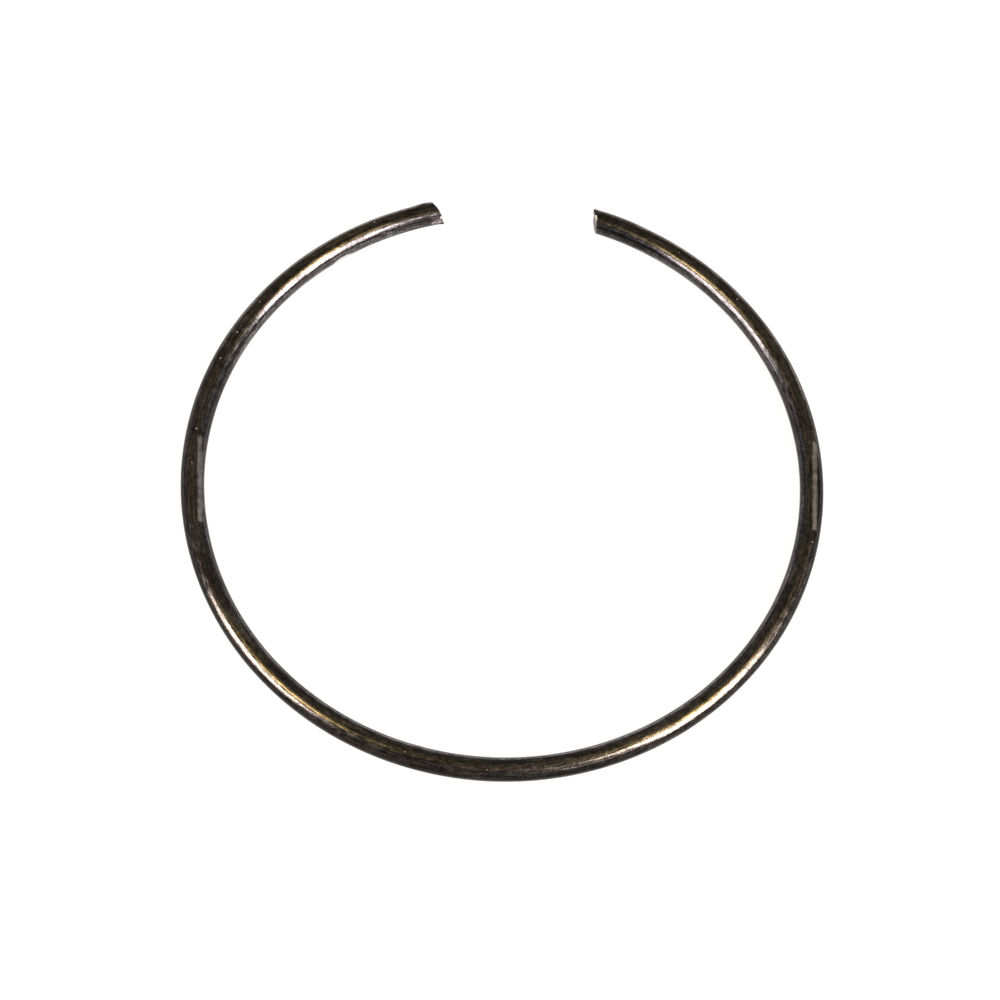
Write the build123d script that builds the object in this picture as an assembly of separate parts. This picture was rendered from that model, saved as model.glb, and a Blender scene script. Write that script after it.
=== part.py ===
from build123d import *
import os
from dataclasses import dataclass
from math import cos, degrees, radians, sin, tan

# Circlip retaining ring: one length of round spring wire, bent to an open circle that snaps into
# a groove. Millimetres. The origin is the centre of the ring's circle, at half the wire's height.
# +Z is the ring's axis, and the gap between the two ends faces +Y.

# Driving dimensions of the ring.
WIRE_DIAMETER = 2.0
OUTSIDE_DIAMETER = 53.6  # over the wire, as the ring lies free
GAP_ANGLE = 30.4  # between the two ends, on the wire's centre line

WIRE_RADIUS = WIRE_DIAMETER / 2
BEND_RADIUS = OUTSIDE_DIAMETER / 2 - WIRE_RADIUS  # of the wire's centre line
GAP_DIRECTION = 90.0  # degrees from +X
END_ALLOWANCE = 2 * WIRE_DIAMETER  # extra wire at each end, which the shearing takes off


@dataclass
class ShearedEnd:
    """One end of the wire as the blade left it. Outward is away from the ring's centre.

    Slants are degrees from a square cut, positive where the outer side reaches further into the gap.
    A section angle runs round the wire from outward (0) through up (90) to inward (180).
    """

    side: int  # +1 is the end on the -X side, -1 the end on the +X side
    inner_slant: float
    outer_slant: float
    knee: float  # where the two slants meet, outward of the centre line
    corner_radius: float  # of the outer corner, seen from above
    corner_drop: float  # how far the blade pressed that corner in
    flat_facing: float  # section angle of the flat that broke off beside the end
    flat_depth: float  # at the very end
    flat_length: float  # from the end to where the flat runs out


# The blade came at this end from outside the ring. It rolled the outer corner over and left
# a sharp tongue on the inner side, with a long flat broken off it.
LEFT_END = ShearedEnd(
    side=1,
    inner_slant=-33.0,
    outer_slant=-20.0,
    knee=-0.50,
    corner_radius=0.35,
    corner_drop=0.05,
    flat_facing=168.0,
    flat_depth=0.24,
    flat_length=1.10,
)

# The blade came at this end from inside the ring, so the outer corner stands furthest into the gap.
# A small chip is missing from its top edge.
RIGHT_END = ShearedEnd(
    side=-1,
    inner_slant=27.0,
    outer_slant=24.0,
    knee=-0.30,
    corner_radius=0.30,
    corner_drop=0.03,
    flat_facing=106.0,
    flat_depth=0.08,
    flat_length=0.22,
)

DENT_SLOPE = 15.0  # degrees, at which the pressed-in corner leaves the round wire


def bent_wire():
    """The wire before its ends are sheared, a little too long at both."""
    allowance = degrees(END_ALLOWANCE / BEND_RADIUS)
    section = Plane.XZ * Pos(BEND_RADIUS, 0) * Circle(WIRE_RADIUS)
    wire = revolve(section, Axis.Z, 360 - GAP_ANGLE + 2 * allowance)
    return Rot(0, 0, GAP_DIRECTION + GAP_ANGLE / 2 - allowance) * wire


def end_frame(side):
    """The plane at a nominal end, on the centre line: x runs into the gap and z is up.

    y points outward where side is +1 and inward where it is -1, so an outward distance is
    multiplied by side.
    """
    angle = radians(GAP_DIRECTION + side * GAP_ANGLE / 2)
    origin = (BEND_RADIUS * cos(angle), BEND_RADIUS * sin(angle), 0)
    into_gap = (side * sin(angle), -side * cos(angle), 0)
    return Plane(origin=origin, x_dir=into_gap, z_dir=(0, 0, 1))


def face_reach(end, outward):
    """How far into the gap the sheared face lies, at this distance outward of the centre line.

    It is 0 on the centre line. The knee must lie inward of that.
    """
    at_knee = end.knee * tan(radians(end.outer_slant))
    slant = end.outer_slant if outward > end.knee else end.inner_slant
    return at_knee + (outward - end.knee) * tan(radians(slant))


def shear_cutter(end):
    """The waste beyond an end, as tall as the wire and more. Its edge is the sheared face from above."""
    beyond = 2 * END_ALLOWANCE
    clear = WIRE_DIAMETER
    corner_out = WIRE_RADIUS - end.corner_drop
    corner = (face_reach(end, corner_out), corner_out)
    dent_rise = clear * tan(radians(DENT_SLOPE))
    outline = [
        (face_reach(end, -clear), -clear),
        (face_reach(end, end.knee), end.knee),
        corner,
        (corner[0] - clear, corner_out + dent_rise),
        (beyond, corner_out + dent_rise),
        (beyond, -clear),
    ]
    waste = make_face(Polyline([(x, end.side * y) for x, y in outline], close=True))
    sharp = waste.vertices().sort_by_distance((corner[0], end.side * corner[1]))[0]
    waste = fillet(sharp, end.corner_radius)
    return end_frame(end.side) * extrude(waste, WIRE_DIAMETER, both=True)


def flat_cutter(end):
    """A block whose underside is the flat broken off beside an end, sloping into the wire."""
    facing = radians(end.flat_facing)
    out, up = end.side * cos(facing), sin(facing)
    outward = WIRE_RADIUS * cos(facing)
    run_out = face_reach(end, outward) - end.flat_length
    surface = Plane(
        origin=(run_out, WIRE_RADIUS * out, WIRE_RADIUS * up),
        x_dir=(end.flat_length, -end.flat_depth * out, -end.flat_depth * up),
        z_dir=(end.flat_depth, end.flat_length * out, end.flat_length * up),
    )
    long = 2 * (end.flat_length + WIRE_DIAMETER)
    align = (Align.CENTER, Align.CENTER, Align.MIN)
    return end_frame(end.side) * surface * Box(long, WIRE_DIAMETER, WIRE_DIAMETER, align=align)


def retaining_ring():
    """The whole ring: the bent wire, less what the blade took off its two ends."""
    ring = bent_wire()
    for end in (LEFT_END, RIGHT_END):
        ring -= shear_cutter(end)
        ring -= flat_cutter(end)
    return ring


os.makedirs("parts", exist_ok=True)
export_step(retaining_ring(), "parts/retaining_ring.step")
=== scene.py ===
from dataclasses import dataclass
from math import cos, pi, radians, sin, tan

import bpy
from mathutils import Matrix, Quaternion, Vector


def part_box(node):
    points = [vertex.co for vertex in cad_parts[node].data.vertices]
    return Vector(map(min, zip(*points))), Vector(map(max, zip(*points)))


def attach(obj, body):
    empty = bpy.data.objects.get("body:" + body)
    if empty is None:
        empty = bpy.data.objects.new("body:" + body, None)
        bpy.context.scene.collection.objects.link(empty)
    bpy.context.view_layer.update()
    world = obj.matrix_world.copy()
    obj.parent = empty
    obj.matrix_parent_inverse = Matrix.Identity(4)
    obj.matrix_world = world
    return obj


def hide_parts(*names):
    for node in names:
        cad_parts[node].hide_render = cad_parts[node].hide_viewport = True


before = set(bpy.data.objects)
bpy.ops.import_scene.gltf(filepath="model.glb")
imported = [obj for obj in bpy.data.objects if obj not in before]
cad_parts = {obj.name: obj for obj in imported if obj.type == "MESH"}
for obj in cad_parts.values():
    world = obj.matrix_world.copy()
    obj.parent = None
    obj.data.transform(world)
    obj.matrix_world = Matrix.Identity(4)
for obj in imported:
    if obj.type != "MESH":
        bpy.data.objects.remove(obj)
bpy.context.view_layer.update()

# Circlip retaining ring: one length of dark spring wire bent to an open circle, with two sheared
# ends. The wire is modelled in millimetres, as the CAD is, and brought to metres when it is whole.

MM = 0.001  # in metres

ring_low, ring_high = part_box("retaining_ring")
WIRE_RADIUS = (ring_high.z - ring_low.z) / 2 / MM
BEND_RADIUS = (ring_high.x - ring_low.x) / 2 / MM - WIRE_RADIUS
FLOOR_Z = ring_low.z

GAP_DIRECTION = 90.0  # degrees from +X
GAP_ANGLE = 30.4  # between the two ends, on the centre line

# Fineness of the mesh.
WIRE_SIDES = 96
BEND_STEP = 0.72  # degrees of the ring between two sections of the wire
END_LENGTH = 2.4  # mm of wire at each end that is modelled finely
END_ALLOWANCE = 2.0  # mm of wire beyond each end, which the shearing takes off
END_GRAIN = 0.034  # mm, the size of a face at the ends
WELD_GAP = 0.10  # mm, between the fine end and the long bend before they are bridged
CUT_DEPTH = 0.03  # mm inside the round surface, from where a point belongs to a cut
CORNER_SEGMENTS = 8  # of the rounded outer corner of an end
TOUCHING = WIRE_RADIUS / 100  # points nearer to a place than this are at it
SAME_POINT = WIRE_RADIUS / 1000  # points nearer to each other than this are one

# Dents: their size and their depth, in mm.
TEAR = (0.16, 0.05)  # on the cut faces, where the metal tore
LONG_DENTS = (2.4, 0.014)  # all along the wire, from the bending
SMALL_DENTS = (0.5, 0.005)


@dataclass
class ShearedEnd:
    """One end of the wire as the blade left it, in mm and degrees, with the CAD's conventions.

    Outward is away from the ring's centre. A slant is from a square cut, positive where the outer
    side reaches further into the gap. A section angle runs round the wire from outward (0) through
    up (90) to inward (180). A place or a push is how far into the gap, outward and up.
    """

    name: str
    side: int  # +1 is the end on the -X side, -1 the end on the +X side
    inner_slant: float
    outer_slant: float
    knee: float  # where the two slants meet, outward of the centre line
    corner_radius: float  # of the outer corner, seen from above
    corner_drop: float  # how far the blade pressed that corner in
    flat_facing: float  # section angle of the flat that broke off beside the end
    flat_depth: float  # at the very end
    flat_length: float  # from the end to where the flat runs out
    burrs: tuple  # swells and burrs that the blade pushed up: (place, push, reach around it)
    patches: tuple  # of bright or dark metal: (centre, half size, colour)

    def angle(self):
        """The ring angle of the end, in radians."""
        return radians(GAP_DIRECTION + self.side * GAP_ANGLE / 2)

    def outward(self):
        return Vector((cos(self.angle()), sin(self.angle()), 0))

    def into_gap(self):
        return self.side * Vector((sin(self.angle()), -cos(self.angle()), 0))

    def point(self, along, out, up=0.0):
        """The place this far into the gap, outward of the centre line and up."""
        return BEND_RADIUS * self.outward() + self.direction(along, out, up)

    def direction(self, along, out, up):
        """A push by this much into the gap, outward and up."""
        return along * self.into_gap() + out * self.outward() + Vector((0, 0, up))

    def face_reach(self, out):
        """How far into the gap the sheared face lies, at this distance outward."""
        at_knee = self.knee * tan(radians(self.outer_slant))
        slant = self.outer_slant if out > self.knee else self.inner_slant
        return at_knee + (out - self.knee) * tan(radians(slant))


# The outer corner is rolled over, and a sharp tongue with a long broken flat is left inside.
LEFT_END = ShearedEnd(
    name="left_end",
    side=1,
    inner_slant=-33.0,
    outer_slant=-20.0,
    knee=-0.50,
    corner_radius=0.35,
    corner_drop=0.05,
    flat_facing=168.0,
    flat_depth=0.24,
    flat_length=1.10,
    burrs=(
        ((-0.85, 0.96, 0.28), (0.0, 0.09, 0.04), 1.40),
        ((-0.33, 0.90, 0.40), (0.11, -0.04, 0.0), 0.70),
        ((0.10, -0.20, 0.90), (0.04, 0.0, 0.0), 0.90),
        ((0.50, -0.90, -0.40), (0.06, -0.03, -0.04), 0.50),
    ),
    patches=(
        ((0.00, -0.90, 0.05), (0.75, 0.30, 0.36), (0.15, 0.13, 0.13)),
        ((-0.20, -0.80, 0.50), (0.48, 0.20, 0.16), (0.05, 0.032, 0.030)),
        ((0.25, -0.74, 0.40), (0.14, 0.18, 0.20), (0.72, 0.70, 0.68)),
        ((0.02, -0.90, -0.05), (0.20, 0.20, 0.10), (0.42, 0.38, 0.38)),
        ((-0.50, -0.95, 0.20), (0.22, 0.20, 0.06), (0.50, 0.46, 0.45)),
        ((0.48, -0.92, -0.42), (0.16, 0.20, 0.20), (0.03, 0.02, 0.022)),
    ),
)

# The outer corner stands furthest into the gap, with a burr, and the top edge has a small chip.
RIGHT_END = ShearedEnd(
    name="right_end",
    side=-1,
    inner_slant=27.0,
    outer_slant=24.0,
    knee=-0.30,
    corner_radius=0.30,
    corner_drop=0.03,
    flat_facing=106.0,
    flat_depth=0.08,
    flat_length=0.22,
    burrs=(
        ((-1.00, 0.97, 0.25), (0.0, 0.060, 0.0), 1.90),
        ((-2.80, 0.97, 0.25), (0.0, 0.050, 0.0), 1.90),
        ((0.38, 0.80, 0.45), (0.11, -0.01, 0.08), 0.60),
    ),
    patches=(
        ((-0.12, -0.28, 0.92), (0.18, 0.42, 0.20), (0.66, 0.62, 0.50)),
        ((-0.12, -0.30, 0.92), (0.06, 0.24, 0.20), (0.05, 0.04, 0.03)),
    ),
)

DENT_SLOPE = 15.0  # degrees, at which the pressed-in corner leaves the round wire


# ---------------------------------------------------------------- modelling helpers


def deselect_everything():
    """Leaves edit mode and selects nothing."""
    if bpy.context.mode != "OBJECT":
        bpy.ops.object.mode_set(mode="OBJECT")
    bpy.ops.object.select_all(action="DESELECT")


def work_on(piece):
    """Makes this the one selected and active object."""
    deselect_everything()
    piece.select_set(True)
    bpy.context.view_layer.objects.active = piece


def edit(piece, select="DESELECT"):
    """Enters edit mode on this object, with nothing selected or, with SELECT, all of it."""
    work_on(piece)
    bpy.ops.object.mode_set(mode="EDIT")
    bpy.ops.mesh.select_all(action=select)


def select_vertices(piece, chosen):
    """In edit mode, selects the vertices whose place is chosen, and nothing else."""
    bpy.ops.mesh.select_all(action="DESELECT")
    bpy.ops.object.mode_set(mode="OBJECT")
    for vertex in piece.data.vertices:
        vertex.select = chosen(vertex.co)
    bpy.ops.object.mode_set(mode="EDIT")
    bpy.ops.mesh.select_mode(type="VERT")


def apply_modifier(piece, kind, **settings):
    """Adds a modifier with these settings and applies it."""
    modifier = piece.modifiers.new(kind.title(), kind)
    for name, value in settings.items():
        setattr(modifier, name, value)
    work_on(piece)
    bpy.ops.object.modifier_apply(modifier=modifier.name)


def from_centre_line(place):
    """How far a point lies from the wire's centre line."""
    return Vector((Vector((place.x, place.y)).length - BEND_RADIUS, place.z)).length


# ---------------------------------------------------------------- the wire and its ends


def bent_wire(name, start, stop):
    """Round wire bent about +Z from one ring angle to another, in radians, open at both ends."""
    deselect_everything()
    bpy.ops.mesh.primitive_circle_add(
        vertices=WIRE_SIDES,
        radius=WIRE_RADIUS,
        location=(BEND_RADIUS * cos(start), BEND_RADIUS * sin(start), 0),
        rotation=(pi / 2, 0, start),
    )
    wire = bpy.context.active_object
    wire.name = name
    bpy.ops.object.transform_apply(location=True, rotation=True, scale=True)
    edit(wire, "SELECT")
    steps = max(2, round(abs(stop - start) / radians(BEND_STEP)))
    turned = start - stop  # the operator turns clockwise about +Z
    bpy.ops.mesh.spin(steps=steps, angle=turned, center=(0, 0, 0), axis=(0, 0, 1))
    bpy.ops.mesh.select_all(action="SELECT")
    bpy.ops.mesh.remove_doubles(threshold=SAME_POINT)
    bpy.ops.mesh.normals_make_consistent(inside=False)
    bpy.ops.object.mode_set(mode="OBJECT")
    return wire


def shear_waste(end):
    """The block that the blade took away beyond an end, with its pressed-in outer corner rounded."""
    clear = 2 * WIRE_RADIUS
    beyond = 2 * END_ALLOWANCE
    corner_out = WIRE_RADIUS - end.corner_drop
    corner_reach = end.face_reach(corner_out)
    dent_out = corner_out + clear * tan(radians(DENT_SLOPE))
    outline = [
        (end.face_reach(-clear), -clear),
        (end.face_reach(end.knee), end.knee),
        (corner_reach, corner_out),
        (corner_reach - clear, dent_out),
        (beyond, dent_out),
        (beyond, -clear),
    ]
    mesh = bpy.data.meshes.new("shear_waste")
    mesh.from_pydata([end.point(x, y, -clear) for x, y in outline], [], [range(len(outline))])
    waste = bpy.data.objects.new("shear_waste", mesh)
    bpy.context.scene.collection.objects.link(waste)
    edit(waste, "SELECT")
    bpy.ops.mesh.extrude_region_move(TRANSFORM_OT_translate={"value": (0, 0, 2 * clear)})
    corner = end.point(corner_reach, corner_out)
    select_vertices(waste, lambda co: (Vector((co.x, co.y, 0)) - corner).length < TOUCHING)
    corner_turn = radians(90 + end.outer_slant + DENT_SLOPE)
    setback = end.corner_radius / tan((pi - corner_turn) / 2)
    bpy.ops.mesh.bevel(offset=setback, offset_type="OFFSET", segments=CORNER_SEGMENTS)
    bpy.ops.mesh.select_all(action="SELECT")
    bpy.ops.mesh.normals_make_consistent(inside=False)
    bpy.ops.object.mode_set(mode="OBJECT")
    return waste


def break_off_flat(piece, end):
    """Cuts the flat that broke off beside an end, which slopes into the wire."""
    facing = radians(end.flat_facing)
    out, up = cos(facing), sin(facing)
    run_out = end.face_reach(WIRE_RADIUS * out) - end.flat_length
    edit(piece, "SELECT")
    radial = end.outward() * out + Vector((0, 0, up))
    bpy.ops.mesh.bisect(
        plane_co=end.point(run_out, WIRE_RADIUS * out, WIRE_RADIUS * up),
        plane_no=end.into_gap() * end.flat_depth + radial * end.flat_length,
        use_fill=True,
        clear_outer=True,
    )
    bpy.ops.object.mode_set(mode="OBJECT")


def sheared_end(end):
    """The last stretch of wire at one end, cut, broken and softened, and open at its back."""
    back = end.angle() + end.side * (END_LENGTH + WIRE_RADIUS) / BEND_RADIUS
    front = end.angle() - end.side * END_ALLOWANCE / BEND_RADIUS
    piece = bent_wire(end.name, back, front)
    edit(piece, "SELECT")
    bpy.ops.mesh.fill_holes(sides=0)
    bpy.ops.object.mode_set(mode="OBJECT")
    waste = shear_waste(end)
    apply_modifier(piece, "BOOLEAN", operation="DIFFERENCE", object=waste, solver="EXACT")
    bpy.data.objects.remove(waste)
    break_off_flat(piece, end)
    apply_modifier(piece, "REMESH", mode="VOXEL", voxel_size=END_GRAIN)
    soften(piece, 2)
    mark_cut(piece)
    roughen(piece, end.name + "_tear", *TEAR, "cut")
    soften(piece, 1)
    piece.vertex_groups.clear()
    cut = end.angle() + end.side * END_LENGTH / BEND_RADIUS
    edit(piece, "SELECT")
    bpy.ops.mesh.bisect(
        plane_co=(0, 0, 0),
        plane_no=-end.side * Vector((-sin(cut), cos(cut), 0)),
        use_fill=False,
        clear_inner=True,
    )
    bpy.ops.object.mode_set(mode="OBJECT")
    return piece


def soften(piece, times):
    """Eases the edges of a finely meshed piece."""
    apply_modifier(piece, "SMOOTH", factor=0.5, iterations=times)


def nudge(piece, place, move, reach):
    """Pushes the surface at a place, and less and less of it out to this reach."""
    nearest = min((vertex.co.copy() for vertex in piece.data.vertices),
                  key=lambda co: (co - place).length_squared)
    edit(piece)
    select_vertices(piece, lambda co: co == nearest)
    bpy.ops.transform.translate(value=move, use_proportional_edit=True,
                                proportional_edit_falloff="SMOOTH", proportional_size=reach)
    bpy.ops.object.mode_set(mode="OBJECT")


def roughen(piece, name, size, depth, group=""):
    """Sinks the surface unevenly, by up to this depth, in dents of about this size."""
    texture = bpy.data.textures.new(name, "CLOUDS")
    texture.noise_scale = size
    apply_modifier(piece, "DISPLACE", texture=texture, texture_coords="LOCAL", strength=depth,
                   mid_level=1.0, vertex_group=group)


def mark_cut(piece):
    """A vertex group of what lies inside the round surface: the sheared face and the flats."""
    group = piece.vertex_groups.new(name="cut")
    for vertex in piece.data.vertices:
        depth = WIRE_RADIUS - from_centre_line(vertex.co)
        if depth > CUT_DEPTH:
            group.add([vertex.index], min(1.0, depth / CUT_DEPTH - 1), "REPLACE")


def weld(wire, end):
    """Bridges the open edges of the long bend and of a sheared end."""
    edit(wire)
    bpy.ops.mesh.select_mode(type="EDGE")
    bpy.ops.mesh.select_non_manifold(extend=False, use_boundary=True, use_wire=False,
                                     use_multi_face=False, use_non_contiguous=False, use_verts=False)
    bpy.ops.object.mode_set(mode="OBJECT")
    for edge in wire.data.edges:
        place = wire.data.vertices[edge.vertices[0]].co
        at_other_end = place.x * end.side > 0
        if edge.select and at_other_end:
            edge.select = False
    bpy.ops.object.mode_set(mode="EDIT")
    bpy.ops.mesh.bridge_edge_loops()
    bpy.ops.object.mode_set(mode="OBJECT")


def retaining_ring():
    """The whole ring: the long bend, with a sheared end welded to each end of it."""
    margin = (END_LENGTH + WELD_GAP) / BEND_RADIUS
    start = LEFT_END.angle() + margin
    stop = RIGHT_END.angle() + 2 * pi - margin
    ring = bent_wire("spring_ring", start, stop)
    pieces = [sheared_end(end) for end in (LEFT_END, RIGHT_END)]
    work_on(ring)
    for piece in pieces:
        piece.select_set(True)
    bpy.ops.object.join()
    for end in (LEFT_END, RIGHT_END):
        weld(ring, end)
    edit(ring, "SELECT")
    bpy.ops.mesh.normals_make_consistent(inside=False)
    bpy.ops.object.mode_set(mode="OBJECT")
    for end in (LEFT_END, RIGHT_END):
        for place, push, reach in end.burrs:
            nudge(ring, end.point(*place), end.direction(*push), reach)
    roughen(ring, "long_dents", *LONG_DENTS)
    roughen(ring, "small_dents", *SMALL_DENTS)
    ring.scale = (MM, MM, MM)
    work_on(ring)
    bpy.ops.object.transform_apply(location=True, rotation=True, scale=True)
    bpy.ops.object.shade_smooth()
    return ring


ring = retaining_ring()
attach(ring, "root")
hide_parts("retaining_ring")


# ---------------------------------------------------------------- shading helpers


class Shading:
    """A node tree being built. Inputs take a number, a colour or another node's output."""

    def __init__(self, tree):
        self.tree = tree

    def node(self, kind, **settings):
        made = self.tree.nodes.new(kind)
        for name, value in settings.items():
            setattr(made, name, value)
        return made

    def feed(self, socket, value):
        if isinstance(value, bpy.types.NodeSocket):
            self.tree.links.new(value, socket)
        else:
            socket.default_value = value

    def math(self, operation, *values, clamp=False):
        made = self.node("ShaderNodeMath", operation=operation, use_clamp=clamp)
        for socket, value in zip(made.inputs, values):
            self.feed(socket, value)
        return made.outputs[0]

    def vector(self, x, y, z):
        made = self.node("ShaderNodeCombineXYZ")
        for socket, value in zip(made.inputs, (x, y, z)):
            self.feed(socket, value)
        return made.outputs[0]

    def scaled(self, vector, factor):
        made = self.node("ShaderNodeVectorMath", operation="SCALE")
        self.feed(made.inputs["Vector"], vector)
        self.feed(made.inputs["Scale"], factor)
        return made.outputs[0]

    def vector_math(self, operation, *values):
        made = self.node("ShaderNodeVectorMath", operation=operation)
        for socket, value in zip(made.inputs, values):
            self.feed(socket, value)
        return made.outputs["Value" if operation in ("DOT_PRODUCT", "LENGTH") else "Vector"]

    def separate(self, vector):
        made = self.node("ShaderNodeSeparateXYZ")
        self.feed(made.inputs[0], vector)
        return made.outputs[:]

    def noise(self, vector, scale=1.0, detail=2.0, roughness=0.5):
        made = self.node("ShaderNodeTexNoise")
        self.feed(made.inputs["Vector"], vector)
        made.inputs["Scale"].default_value = scale
        made.inputs["Detail"].default_value = detail
        made.inputs["Roughness"].default_value = roughness
        return made.outputs["Fac"]

    def ramp(self, value, low, high, to_low=0.0, to_high=1.0):
        """A smooth step: to_low where the value is low, to_high where it is high."""
        made = self.node("ShaderNodeMapRange", interpolation_type="SMOOTHSTEP")
        for name, given in zip(("Value", "From Min", "From Max", "To Min", "To Max"),
                               (value, low, high, to_low, to_high)):
            self.feed(made.inputs[name], given)
        return made.outputs["Result"]

    def mix(self, factor, colour, other, blend="MIX"):
        made = self.node("ShaderNodeMix", data_type="RGBA", blend_type=blend)
        for name, given in (("Factor_Float", factor), ("A_Color", colour), ("B_Color", other)):
            self.feed(next(i for i in made.inputs if i.identifier == name), given)
        return next(o for o in made.outputs if o.identifier == "Result_Color")

    def shaded(self, colour, factor):
        """The colour made darker or lighter by a factor."""
        return self.mix(1.0, colour, self.vector(factor, factor, factor), "MULTIPLY")

    def group(self, tree, **inputs):
        """Places a finish's node group, and gives its outputs by name."""
        made = self.node("ShaderNodeGroup", node_tree=tree)
        for name, value in inputs.items():
            self.feed(made.inputs[name.replace("_", " ").capitalize()], value)
        return {socket.name.lower().replace(" ", "_"): socket for socket in made.outputs}


def node_group(name, inputs, outputs):
    """A new shader node group. Inputs are names with a default; outputs are names."""
    tree = bpy.data.node_groups.new(name, "ShaderNodeTree")
    for label, default in inputs.items():
        kind = "NodeSocketFloat" if isinstance(default, (int, float)) else "NodeSocketVector"
        socket = tree.interface.new_socket(label, in_out="INPUT", socket_type=kind)
        if kind == "NodeSocketFloat":
            socket.default_value = default
    for label in outputs:
        tree.interface.new_socket(label, in_out="OUTPUT", socket_type="NodeSocketFloat")
    shading = Shading(tree)
    return shading, shading.node("NodeGroupInput").outputs, shading.node("NodeGroupOutput").inputs


# ---------------------------------------------------------------- finishes of the wire

POSITION = (0, 0, 0)  # the default of an input that takes a place or a direction
OPPOSITE_GAP = GAP_DIRECTION + 180.0  # the ring angle from which Along is counted

# Colours of the tempered coat, of what lies on it or shows through it, and of the painted highlight
# bars.
INNER_FLANK = (0.150, 0.134, 0.136, 1)
OUTER_FLANK = (0.152, 0.127, 0.110, 1)
OLIVE = (0.160, 0.133, 0.086, 1)
BROWN = (0.162, 0.130, 0.102, 1)
BRIGHT_EDGE_PATCH = (0.75, 0.73, 0.72, 1)
# painted highlight: the grey of the two pale straight bars
PAINTED_HIGHLIGHT_GREY = (0.090, 0.088, 0.080, 1)
DUST = (0.34, 0.30, 0.24, 1)
BORDER_BROWN = (0.045, 0.022, 0.018, 1)
BARE_STEEL = (0.17, 0.15, 0.17, 1)
GRAZING_TINT = (0.8, 0.78, 0.78, 1)  # of what the metal reflects at its outline

# Streaks from the drawing die: their width in mm, and their length in widths.
STREAKS = {"fine": (0.07, 14.0), "broad": (0.22, 18.0)}
# Mottling with no direction: its size in mm.
MOTTLES = {"grain": 0.15, "cloud": 0.50, "blotch": 2.6, "drift": 12.0}
# How strongly each of them lightens and darkens the coat.
CONTRASTS = {"fine": 0.42, "broad": 0.38, "grain": 0.40, "cloud": 0.30, "blotch": 0.2}

# Smooth steps: between which values each one runs and, where that isn't 0 and 1, what it gives
# there. Outward and upward are -1 to 1, and a texture's values lie mostly between 0.3 and 0.7.
TEXTURE_RANGE = (0.28, 0.72)
OLIVE_TO_BROWN_BY_DRIFT = (0.43, 0.57, 0.0, 0.9)
OLIVE_TO_BROWN_BY_CLOUD = (0.4, 0.7, 0.0, 0.5)
INNER_TO_OUTER = (-0.3, 0.3)
FLANK_TO_TOP = (0.86, 0.96)
PAINTED_FLANK_SHADE = (-0.3, 0.3, 0.25, 0.13)  # painted shade by outward: the outer flank is painted the darker one
PAINTED_LOW_FLANK_LIGHT = (-0.05, 0.38, 2.0, 1.0)  # painted light by upward: both flanks are painted paler again low down
PAINTED_SHADE_FLANK_TO_TOP = (0.48, 0.86)  # painted shade by upward: from the flank's painted shade to the top's full colour
PAINTED_REFLECTION_FACING = (0.7, 0.9)  # by how far a point faces the flank with the painted reflection
PAINTED_REFLECTION_STREAKS = (0.35, 0.6, 0.3, 1.0)
PAINTED_SHADE_FACING = (0.45, 0.70)
PAINTED_SHADE_FACTOR = (0.0, 1.0, 1.0, 0.5)
HIGHLIGHT_BAR_COVER = (0.3, 0.7, 0.50, 0.75)  # by cloud: how much of the painted highlight bars shows
METAL_BY_CLOUD = (0.3, 0.7, 0.45, 1.6)
METAL_BY_GRAIN = (0.3, 0.7, 0.6, 1.4)
COAT_ROUGHNESS = (0.32, 0.68, 0.12, 0.25)  # by fine streak

# By depth inside the round surface, in mm: the coat's dark border opens and closes, and the bare
# metal begins.
BORDER_OPENS = (0.018, 0.030)
BORDER_CLOSES = (0.045, 0.075, 1.0, 0.0)
METAL_BEGINS = (0.030, 0.055)

FADE_OUT = (-1.0, 1.0, 1.0, 0.0)  # at a distance past an edge, in units of the edge's softness
HIGHLIGHT_BAR_END_SOFTNESS = 0.16  # mm
HIGHLIGHT_BAR_SIDE_SOFTNESS = 0.10
HIGHLIGHT_BAR_HEIGHT = (0.0, 0.2)  # mm above the centre line: the painted highlight lies only on what faces up
PATCH_EDGE = (0.75, 1.1, 1.0, 0.0)  # by distance from a patch's centre, in half sizes
STRETCH_FADE = 0.2  # radians of the ring, at both ends of a stretch of painted reflection or painted shade

DUST_COVER = 0.75
PATCH_MATTE = 0.8  # how far a patch at an end is from metallic
MATTE_ROUGHNESS = 0.4  # added where dust, the painted highlight bars and patches lie
METAL_ROUGHNESS = 0.15  # added where the metal is bare
BUMP_HEIGHT = 0.006  # mm
BUMP_PARTS = {"fine": 0.8, "grain": 0.2}

SPECKS = (  # dust, by ring angle, section angle and size in mm
    (117.5, 71.0, 0.11),
    (144.9, 79.0, 0.11),
    (152.5, 84.0, 0.17),
    (158.7, 80.0, 0.16),
    (173.9, 87.0, 0.18),
    (180.8, 87.0, 0.12),
    (254.9, 82.0, 0.11),
    (269.8, 67.0, 0.10),
    (349.8, 61.0, 0.12),
    (42.5, 79.0, 0.12),
    (57.0, 82.0, 0.10),
)

PAINTED_HIGHLIGHT_BARS = (  # painted highlights: pale straight bars standing in for reflections of a light, by their two ends seen from above, in mm
    ((-25.38, 2.18), (-24.77, -5.65)),
    ((25.92, 4.49), (26.01, -3.60)),
)
HIGHLIGHT_BAR_HALF_WIDTH = 0.19

# Stretches of the coat, from one ring angle to another. Past +X an angle goes on beyond 360.
PAINTED_REFLECTION_STRETCHES = (  # painted reflection: the coat made paler, on the outer (1) or inner (-1) flank, by this much
    (104.0, 166.0, -1, 0.60),
    (288.0, 342.0, 1, 0.16),
    (378.0, 425.0, -1, 0.20),
)
PAINTED_SHADE_STRETCHES = (  # painted shade: the outer flank made darker
    (150.0, 208.0),
    (340.0, 383.0),
)

BRIGHT_PATCH_PLACE = (126.0, 185.0)  # ring angle and section angle of one small bright patch on the inner flank
BRIGHT_PATCH_HALF_SIZE = (0.9, 0.9, 0.26)  # mm


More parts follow.
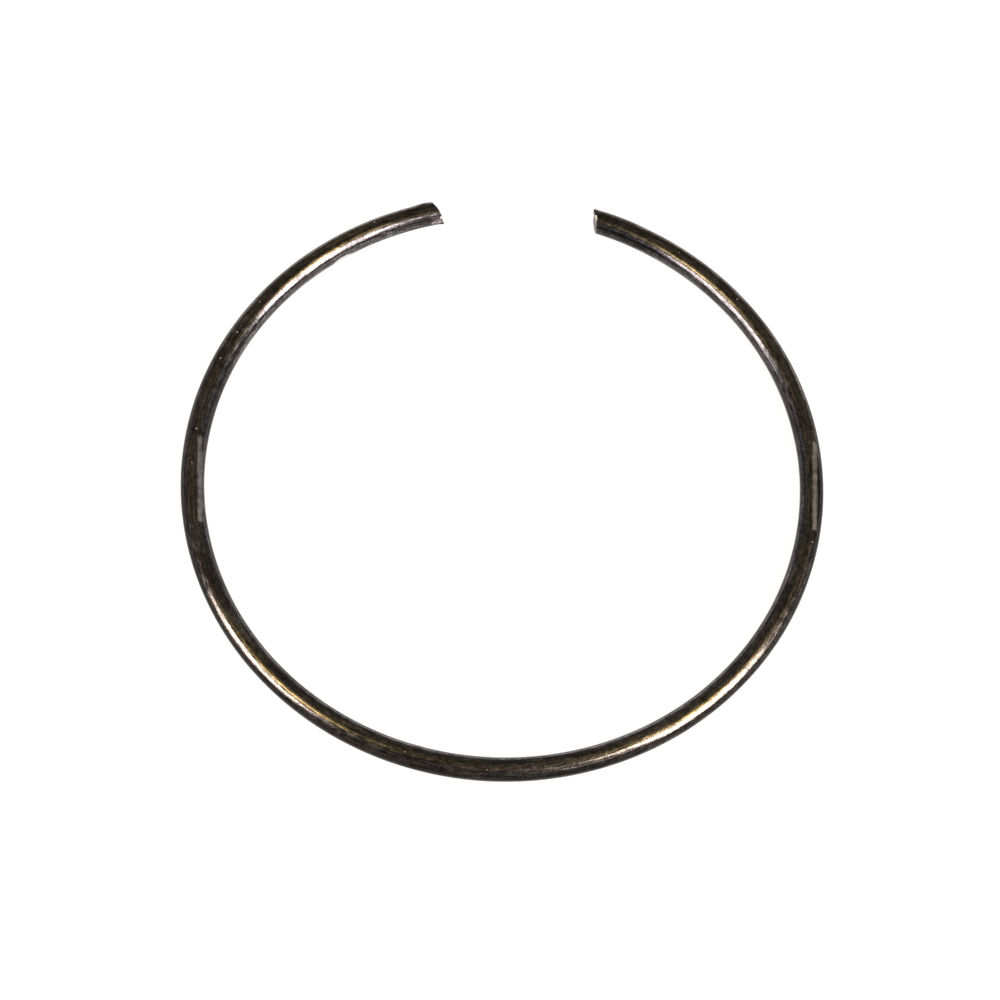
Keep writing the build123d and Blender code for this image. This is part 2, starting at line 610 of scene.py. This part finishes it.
def wire_place():
    """Where a point lies on the bent wire, in mm, from its place on the ring in metres.

    Along runs round the ring and jumps only in the gap. Outward and Upward are the direction it
    faces in the wire's round section. Depth is how far it lies inside the round surface.
    """
    shading, given, out = node_group(
        "wire place", {"Position": POSITION}, ("Along", "Outward", "Upward", "Depth"))
    x, y, z = shading.separate(shading.scaled(given["Position"], 1 / MM))
    radius = shading.math("SQRT", shading.math("ADD", shading.math("MULTIPLY", x, x),
                                               shading.math("MULTIPLY", y, y)))
    away = shading.math("SUBTRACT", radius, BEND_RADIUS)
    from_centre = shading.math("SQRT", shading.math("ADD", shading.math("MULTIPLY", away, away),
                                                    shading.math("MULTIPLY", z, z)))
    turn = shading.math("ARCTAN2", x, shading.math("MULTIPLY", y, -1.0))
    shading.feed(out["Along"], shading.math("MULTIPLY", turn, BEND_RADIUS))
    shading.feed(out["Outward"], shading.math("DIVIDE", away, from_centre))
    shading.feed(out["Upward"], shading.math("DIVIDE", z, from_centre))
    shading.feed(out["Depth"], shading.math("SUBTRACT", WIRE_RADIUS, from_centre))
    return shading.tree


def draw_lines():
    """Streaks that the drawing die left along the wire. Size is their width in mm."""
    shading, given, out = node_group(
        "draw lines", {"Along": 0.0, "Outward": 0.0, "Upward": 0.0, "Size": 0.1, "Stretch": 10.0},
        ("Streak",))
    fineness = shading.math("DIVIDE", WIRE_RADIUS, given["Size"])
    length = shading.math("MULTIPLY", given["Size"], given["Stretch"])
    place = shading.vector(
        shading.math("MULTIPLY", given["Outward"], fineness),
        shading.math("MULTIPLY", given["Upward"], fineness),
        shading.math("DIVIDE", given["Along"], length))
    shading.feed(out["Streak"], shading.noise(place, detail=2.0, roughness=0.6))
    return shading.tree


def mottle():
    """Unevenness with no direction. Size is in mm."""
    shading, given, out = node_group("mottle", {"Position": POSITION, "Size": 1.0}, ("Mottle",))
    fineness = shading.math("DIVIDE", 1 / MM, given["Size"])
    place = shading.scaled(given["Position"], fineness)
    shading.feed(out["Mottle"], shading.noise(place, detail=2.0, roughness=0.55))
    return shading.tree


def painted_highlight_bar():
    """A straight pale bar of painted highlight on what faces up. All in mm, but Run, which is its
    direction.
    """
    shading, given, out = node_group(
        "painted_highlight_bar", {"Place": POSITION, "Middle": POSITION, "Run": POSITION, "Half length": 1.0,
                "Half width": 0.2}, ("Mask",))
    offset = shading.vector_math("SUBTRACT", given["Place"], given["Middle"])
    across = shading.vector_math("CROSS_PRODUCT", given["Run"], (0, 0, 1))
    inside = 1.0
    for direction, half, softness in ((given["Run"], given["Half length"], HIGHLIGHT_BAR_END_SOFTNESS),
                                      (across, given["Half width"], HIGHLIGHT_BAR_SIDE_SOFTNESS)):
        distance = shading.math("ABSOLUTE", shading.vector_math("DOT_PRODUCT", offset, direction))
        past_edge = shading.math("DIVIDE", shading.math("SUBTRACT", distance, half), softness)
        inside = shading.math("MULTIPLY", inside, shading.ramp(past_edge, *FADE_OUT))
    above = shading.ramp(shading.separate(given["Place"])[2], *HIGHLIGHT_BAR_HEIGHT)
    shading.feed(out["Mask"], shading.math("MULTIPLY", inside, above))
    return shading.tree


def end_place():
    """Where a point lies at one end of the wire, in mm: X into the gap, Y outward, Z up."""
    shading, given, out = node_group(
        "end place", {"Position": POSITION, "Centre": POSITION, "Into gap": POSITION,
                      "Outward": POSITION}, ("X", "Y", "Z"))
    offset = shading.vector_math("SUBTRACT", shading.scaled(given["Position"], 1 / MM),
                                 given["Centre"])
    shading.feed(out["X"], shading.vector_math("DOT_PRODUCT", offset, given["Into gap"]))
    shading.feed(out["Y"], shading.vector_math("DOT_PRODUCT", offset, given["Outward"]))
    shading.feed(out["Z"], shading.separate(offset)[2])
    return shading.tree


def patch():
    """A soft-edged, ragged patch: an ellipsoid about a centre, with its half sizes in mm."""
    shading, given, out = node_group(
        "patch", {"Place": POSITION, "Centre": POSITION, "Half size": (1, 1, 1), "Ragged": 0.6,
                  "Ragged size": 0.12}, ("Mask",))
    offset = shading.vector_math("SUBTRACT", given["Place"], given["Centre"])
    reach = shading.vector_math("LENGTH", shading.vector_math("DIVIDE", offset, given["Half size"]))
    fineness = shading.math("DIVIDE", 1.0, given["Ragged size"])
    uneven = shading.noise(shading.scaled(given["Place"], fineness))
    uneven = shading.math("MULTIPLY", shading.math("SUBTRACT", uneven, 0.5), given["Ragged"])
    shading.feed(out["Mask"], shading.ramp(shading.math("ADD", reach, uneven), *PATCH_EDGE))
    return shading.tree


def on_wire(ring_angle, section_angle):
    """The place on the wire's surface at a ring angle and a section angle, in mm."""
    turn = radians(ring_angle)
    section = radians(section_angle)
    out = BEND_RADIUS + WIRE_RADIUS * cos(section)
    return Vector((out * cos(turn), out * sin(turn), WIRE_RADIUS * sin(section)))


def surface_textures(shading, position, place):
    """The streaks and the mottling of the coat, by name."""
    lines = draw_lines()
    speckle = mottle()
    here = {name: place[name] for name in ("along", "outward", "upward")}
    textures = {}
    for name, (size, stretch) in STREAKS.items():
        textures[name] = shading.group(lines, size=size, stretch=stretch, **here)["streak"]
    for name, size in MOTTLES.items():
        textures[name] = shading.group(speckle, position=position, size=size)["mottle"]
    return textures


def stretch_mask(shading, turn, first, last, strength=1.0):
    """A mask that fades in and out along the ring, between two ring angles."""
    first = radians(first - OPPOSITE_GAP)
    last = radians(last - OPPOSITE_GAP)
    begun = shading.ramp(turn, first, first + STRETCH_FADE, 0.0, strength)
    not_over = shading.ramp(turn, last - STRETCH_FADE, last, 1.0, 0.0)
    return shading.math("MULTIPLY", begun, not_over)


def coat_with_painted_shade(shading, place, textures):
    """The coat's colour: olive-brown on top and greyer on the flanks, with painted shade that makes
    the flanks darker and painted reflections that make stretches of them paler.
    """
    flank = shading.mix(shading.ramp(place["outward"], *INNER_TO_OUTER), INNER_FLANK, OUTER_FLANK)
    tint = shading.mix(shading.ramp(textures["drift"], *OLIVE_TO_BROWN_BY_DRIFT), OLIVE, BROWN)
    tint = shading.mix(shading.ramp(textures["cloud"], *OLIVE_TO_BROWN_BY_CLOUD), tint, BROWN)
    tint = shading.mix(shading.ramp(place["upward"], *FLANK_TO_TOP), flank, tint)

    turn = shading.math("DIVIDE", place["along"], BEND_RADIUS)
    # Painted reflection: stretches of one flank are painted paler, in streaks.
    painted_reflection = 0.0
    for first, last, side, strength in PAINTED_REFLECTION_STRETCHES:
        facing = shading.ramp(shading.math("MULTIPLY", place["outward"], side), *PAINTED_REFLECTION_FACING)
        stretch = stretch_mask(shading, turn, first, last, strength)
        painted_reflection = shading.math("MAXIMUM", painted_reflection, shading.math("MULTIPLY", stretch, facing))
    painted_reflection = shading.math("MULTIPLY", painted_reflection, shading.ramp(textures["fine"], *PAINTED_REFLECTION_STREAKS))
    # Painted shade: the flanks are darkened, the outer one more, and painted paler again low down.
    painted_flank_level = shading.math("MULTIPLY", shading.ramp(place["outward"], *PAINTED_FLANK_SHADE),
                          shading.ramp(place["upward"], *PAINTED_LOW_FLANK_LIGHT))
    painted_flank_level = shading.math("ADD", painted_flank_level, painted_reflection)
    shade = shading.ramp(place["upward"], *PAINTED_SHADE_FLANK_TO_TOP, painted_flank_level, 1.0)
    # Painted shade: stretches of the outer flank are darkened.
    for first, last in PAINTED_SHADE_STRETCHES:
        stretch = stretch_mask(shading, turn, first, last)
        mask = shading.math("MULTIPLY", stretch, shading.ramp(place["outward"], *PAINTED_SHADE_FACING))
        shade = shading.math("MULTIPLY", shade, shading.ramp(mask, *PAINTED_SHADE_FACTOR))
    for name, contrast in CONTRASTS.items():
        step = shading.ramp(textures[name], *TEXTURE_RANGE, 1 - contrast, 1 + contrast)
        shade = shading.math("MULTIPLY", shade, step)
    return shading.shaded(tint, shade)


def painted_highlight_bars(shading, in_mm, cloud):
    """A mask of the painted highlight bars: pale straight stand-ins for reflections of a light."""
    mark = painted_highlight_bar()
    highlight_bars = 0.0
    for start, finish in PAINTED_HIGHLIGHT_BARS:
        start = Vector((*start, 0))
        finish = Vector((*finish, 0))
        mask = shading.group(mark, place=in_mm, middle=(start + finish) / 2,
                             run=(finish - start).normalized(),
                             half_length=(finish - start).length / 2,
                             half_width=HIGHLIGHT_BAR_HALF_WIDTH)["mask"]
        highlight_bars = shading.math("MAXIMUM", highlight_bars, mask)
    return shading.math("MULTIPLY", highlight_bars, shading.ramp(cloud, *HIGHLIGHT_BAR_COVER))


def dust_specks(shading, in_mm, spot):
    """A mask of the specks of dust."""
    dusty = 0.0
    for ring_angle, section_angle, size in SPECKS:
        mask = shading.group(spot, place=in_mm, centre=on_wire(ring_angle, section_angle),
                             half_size=(size / 2,) * 3, ragged=0.5, ragged_size=0.06)["mask"]
        dusty = shading.math("MAXIMUM", dusty, mask)
    return shading.math("MULTIPLY", dusty, DUST_COVER)


def cut_metal(shading, textures):
    """The colour of the bare, torn metal."""
    shade = shading.math("MULTIPLY", shading.ramp(textures["cloud"], *METAL_BY_CLOUD),
                         shading.ramp(textures["grain"], *METAL_BY_GRAIN))
    return shading.shaded(BARE_STEEL, shade)


def with_end_patches(shading, position, spot, colour, matte):
    """The colour and the matte mask, with the patches at both ends added to them."""
    at_end = end_place()
    for end in (LEFT_END, RIGHT_END):
        local = shading.group(at_end, position=position, centre=end.point(0, 0),
                              into_gap=end.into_gap(), outward=end.outward())
        local = shading.vector(local["x"], local["y"], local["z"])
        for centre, half_size, tone in end.patches:
            mask = shading.group(spot, place=local, centre=centre, half_size=half_size,
                                 ragged=0.7, ragged_size=0.10)["mask"]
            colour = shading.mix(mask, colour, (*tone, 1))
            matte = shading.math("MAXIMUM", matte, shading.math("MULTIPLY", mask, PATCH_MATTE))
    return colour, matte


def dark_spring_steel():
    """Oil-tempered spring wire: olive-brown on top, greyer on its flanks, bare where it is cut, with
    painted shade, painted reflections and painted highlight bars in its colour.
    """
    material = bpy.data.materials.new("dark_spring_steel")
    material.use_nodes = True
    shading = Shading(material.node_tree)
    shader = material.node_tree.nodes["Principled BSDF"]
    shader.inputs["Specular Tint"].default_value = GRAZING_TINT
    position = shading.node("ShaderNodeTexCoord").outputs["Object"]
    in_mm = shading.scaled(position, 1 / MM)
    place = shading.group(wire_place(), position=position)
    textures = surface_textures(shading, position, place)
    spot = patch()

    colour = coat_with_painted_shade(shading, place, textures)
    bright_patch = shading.group(spot, place=in_mm, centre=on_wire(*BRIGHT_PATCH_PLACE),
                         half_size=BRIGHT_PATCH_HALF_SIZE, ragged=0.8)["mask"]
    colour = shading.mix(bright_patch, colour, BRIGHT_EDGE_PATCH)
    # Painted highlight: two pale straight bars stand in for reflections of a light.
    highlight_bars = painted_highlight_bars(shading, in_mm, textures["cloud"])
    colour = shading.mix(highlight_bars, colour, PAINTED_HIGHLIGHT_GREY)
    dusty = dust_specks(shading, in_mm, spot)
    colour = shading.mix(dusty, colour, DUST)

    # Where the blade cut, the coat ends in a dark brown border and the metal is bare.
    bare = shading.ramp(place["depth"], *METAL_BEGINS)
    border = shading.math("MULTIPLY", shading.ramp(place["depth"], *BORDER_OPENS),
                          shading.ramp(place["depth"], *BORDER_CLOSES))
    colour = shading.mix(bare, colour, cut_metal(shading, textures))
    colour = shading.mix(border, colour, BORDER_BROWN)
    matte = shading.math("MAXIMUM", dusty, highlight_bars)
    colour, matte = with_end_patches(shading, position, spot, colour, matte)
    shading.feed(shader.inputs["Base Color"], colour)
    shading.feed(shader.inputs["Metallic"], shading.ramp(matte, 0.0, 1.0, 1.0, 0.0))

    roughness = shading.ramp(textures["fine"], *COAT_ROUGHNESS)
    for mask, added in ((matte, MATTE_ROUGHNESS), (bare, METAL_ROUGHNESS)):
        more = shading.math("MULTIPLY", mask, added)
        roughness = shading.math("ADD", roughness, more, clamp=True)
    shading.feed(shader.inputs["Roughness"], roughness)

    parts = [shading.math("MULTIPLY", textures[name], part) for name, part in BUMP_PARTS.items()]
    bump = shading.node("ShaderNodeBump")
    bump.inputs["Distance"].default_value = BUMP_HEIGHT * MM
    bump.inputs["Strength"].default_value = 1.0
    shading.feed(bump.inputs["Height"], shading.math("ADD", *parts))
    shading.feed(shader.inputs["Normal"], bump.outputs["Normal"])
    return material


ring.data.materials.clear()
ring.data.materials.append(dark_spring_steel())


# ---------------------------------------------------------------- floor, light and camera

FLOOR_SIZE = 3.0  # metres
FLOOR_GREY = (0.22, 0.22, 0.22, 1)  # what the lamps and the ring's shadow fall on
FLOOR_GLOW = 0.86  # with the lamps' light on the grey, it comes out white
ROOM_LIGHT = 0.16

WARM_WHITE = (1.0, 0.96, 0.94)
GOLDEN = (1.0, 0.82, 0.45)
LAMP_DISTANCE = 0.5  # metres

# Lamps: azimuth from +X and elevation in degrees, width and height in metres, radiance, colour.
# The two large softboxes make the long highlights. The golden lamps above them make the lines
# along the top, and the ones in front light the flanks near the gap.
LAMPS = (
    ("left_softbox", 202, 28, (0.26, 0.29), 11, WARM_WHITE),
    ("right_softbox", 332, 39, (0.28, 0.34), 12, WARM_WHITE),
    ("front_softbox", 299, 50, (0.20, 0.12), 0.5, WARM_WHITE),
    ("front_strip", 299, 26, (0.18, 0.04), 3, WARM_WHITE),
    ("front_low_glow", 270, 14, (0.50, 0.10), 0.3, WARM_WHITE),
    ("left_upper_lamp", 199, 61, (0.07, 0.10), 12, GOLDEN),
    ("right_upper_lamp", 348, 63, (0.07, 0.09), 10, GOLDEN),
    ("left_glow", 182, 67, (0.14, 0.20), 0.8, GOLDEN),
    ("right_glow", 2, 68, (0.14, 0.20), 0.8, GOLDEN),
)

# The camera looks from the -Y side. Its distance and what it aims at are in bend radii.
CAMERA_TURN = -0.56  # degrees about the ring's axis
CAMERA_ELEVATION = 65.3684
CAMERA_ROLL = 3.46184
CAMERA_DISTANCE = 12.62393
CAMERA_AIM = (-0.0043039, -0.0739262, 0)
SENSOR_WIDTH = 36  # mm
LENS = 141.01  # mm
NEAREST_SEEN = 0.01  # metres


def white_floor():
    """A floor that keeps the ring's shadow and is white to the camera and in reflections."""
    deselect_everything()
    bpy.ops.mesh.primitive_plane_add(size=FLOOR_SIZE, location=(0, 0, FLOOR_Z))
    floor = bpy.context.active_object
    floor.name = "floor"
    material = bpy.data.materials.new("white_floor")
    material.use_nodes = True
    shading = Shading(material.node_tree)
    shader = material.node_tree.nodes["Principled BSDF"]
    shader.inputs["Base Color"].default_value = FLOOR_GREY
    shader.inputs["Roughness"].default_value = 0.9
    shader.inputs["Specular IOR Level"].default_value = 0.0
    shader.inputs["Emission Color"].default_value = (1, 1, 1, 1)
    ray = shading.node("ShaderNodeLightPath").outputs
    seen = shading.math("MAXIMUM", ray["Is Camera Ray"], ray["Is Glossy Ray"])
    seen = shading.math("MAXIMUM", seen, ray["Is Transmission Ray"])
    shading.feed(shader.inputs["Emission Strength"], shading.math("MULTIPLY", seen, FLOOR_GLOW))
    floor.data.materials.append(material)


def softbox(name, azimuth, elevation, size, radiance, colour):
    """A flat rectangular lamp that faces the ring from this direction."""
    width, height = size
    lamp = bpy.data.lights.new(name, "AREA")
    lamp.shape = "RECTANGLE"
    lamp.size = width
    lamp.size_y = height
    lamp.color = colour
    lamp.energy = radiance * pi * width * height
    holder = bpy.data.objects.new(name, lamp)
    bpy.context.scene.collection.objects.link(holder)
    a = radians(azimuth)
    e = radians(elevation)
    toward = Vector((cos(e) * cos(a), cos(e) * sin(a), sin(e)))
    holder.location = toward * LAMP_DISTANCE
    holder.rotation_euler = toward.to_track_quat("Z", "Y").to_euler()


def room():
    """The plain white light that comes from all round."""
    world = bpy.data.worlds.new("room")
    bpy.context.scene.world = world
    world.use_nodes = True
    background = world.node_tree.nodes["Background"]
    background.inputs["Color"].default_value = (1, 1, 1, 1)
    background.inputs["Strength"].default_value = ROOM_LIGHT


def camera():
    """A long lens that looks down at the ring from the front."""
    elevation = radians(CAMERA_ELEVATION)
    turn = Matrix.Rotation(radians(CAMERA_TURN), 3, "Z")
    aim = turn @ Vector(CAMERA_AIM) * BEND_RADIUS * MM
    toward = turn @ Vector((0, -cos(elevation), sin(elevation)))
    lens = bpy.data.cameras.new("camera")
    lens.sensor_width = SENSOR_WIDTH
    lens.lens = LENS
    lens.clip_start = NEAREST_SEEN
    holder = bpy.data.objects.new("camera", lens)
    bpy.context.scene.collection.objects.link(holder)
    holder.location = aim + toward * CAMERA_DISTANCE * BEND_RADIUS * MM
    level = toward.to_track_quat("Z", "Y")
    holder.rotation_mode = "QUATERNION"
    holder.rotation_quaternion = level @ Quaternion((0, 0, 1), radians(CAMERA_ROLL))
    bpy.context.scene.camera = holder


white_floor()
room()
for lamp_settings in LAMPS:
    softbox(*lamp_settings)
camera()
bpy.context.scene.view_settings.view_transform = "Standard"
